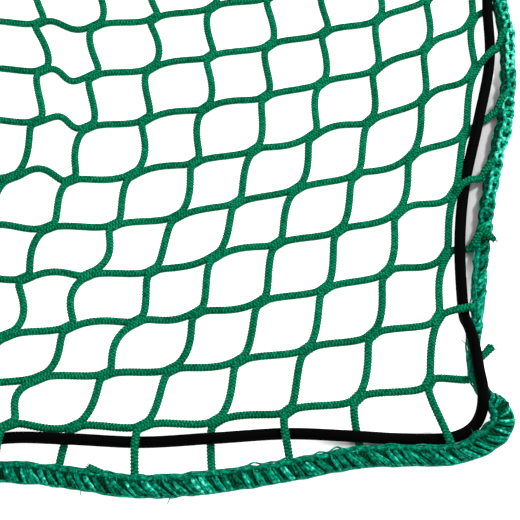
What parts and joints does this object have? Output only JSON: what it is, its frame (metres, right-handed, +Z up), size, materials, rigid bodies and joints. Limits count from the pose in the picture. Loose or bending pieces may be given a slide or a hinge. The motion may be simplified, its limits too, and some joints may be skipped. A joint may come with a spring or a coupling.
{
  "type": "trailer net",
  "caption": "Knotless green mesh net with a thick overlocked border and a black elastic cord threaded through its outer meshes, spread over a load to hold it.",
  "frame": {"origin": "middle of the net's floor box, on the surface that it lies on", "axes": "+X along the long side, +Y along the short side, +Z up from the surface; the corner that lies askew is at +X, -Y"},
  "size_m": [1.4466, 1.0012, 0.0177],
  "materials": {
    "twine": "braided polypropylene twine, slightly glossy",
    "overlock": "glossy polypropylene yarn sewn over the edge",
    "elastic": "matt braided cover on a rubber core"
  },
  "bodies": {
    "root": {"net": "twine", "border": "overlock", "elastic_cord": "elastic"}
  },
  "joints": []
}
